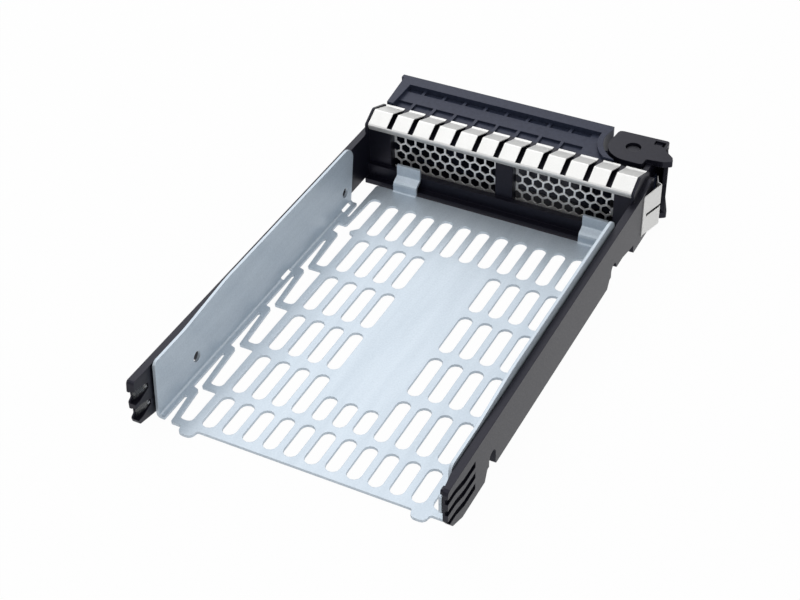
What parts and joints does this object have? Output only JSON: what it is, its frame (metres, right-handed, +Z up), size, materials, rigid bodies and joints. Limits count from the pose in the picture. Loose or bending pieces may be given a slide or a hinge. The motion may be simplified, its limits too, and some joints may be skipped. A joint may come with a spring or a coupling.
{
  "type": "hard drive tray",
  "caption": "Hot-swap hard drive tray with a slotted steel floor, plastic side rails, spring contact strips, honeycomb vent screen and a swinging front lever with a release button.",
  "frame": {"origin": "centre of the steel floor's underside", "axes": "+Y towards the front lever, +Z up, +X towards the lever's pivot side"},
  "size_m": [0.1143, 0.1927, 0.0279],
  "materials": {
    "black_plastic": "satin",
    "lever_plastic": "satin",
    "zinc_steel": "zinc plated",
    "spring_steel": "bright",
    "screen_steel": "satin",
    "pin_steel": "blackened",
    "spring_wire": "drawn",
    "plum_plastic": "smooth",
    "clear_plastic": "clear"
  },
  "bodies": {
    "carrier": {"frame": "black_plastic", "steel_tray": "zinc_steel", "emi_top_strip": "spring_steel", "emi_side_clip": "spring_steel", "vent_screen": "screen_steel", "lever_pivot_pin": "pin_steel", "light_pipe_upper": "clear_plastic", "light_pipe_lower": "clear_plastic"},
    "lever": {"ejector_lever": "lever_plastic", "release_spring": "spring_wire"},
    "button": {"release_button": "plum_plastic"}
  },
  "joints": [
    {"name": "lever_swing", "type": "hinge", "parent": "carrier", "child": "lever", "pos_m": [0.0428, 0.1031, 0.0125], "axis": [0, 0, -1], "range_deg": [0, 18]},
    {"name": "release_press", "type": "slide", "parent": "lever", "child": "button", "axis": [0, -1, 0], "range_m": [0, 0.002], "stiffness_N_per_m": 300, "springref_m": -0.003, "deforming": ["release_spring"]}
  ]
}
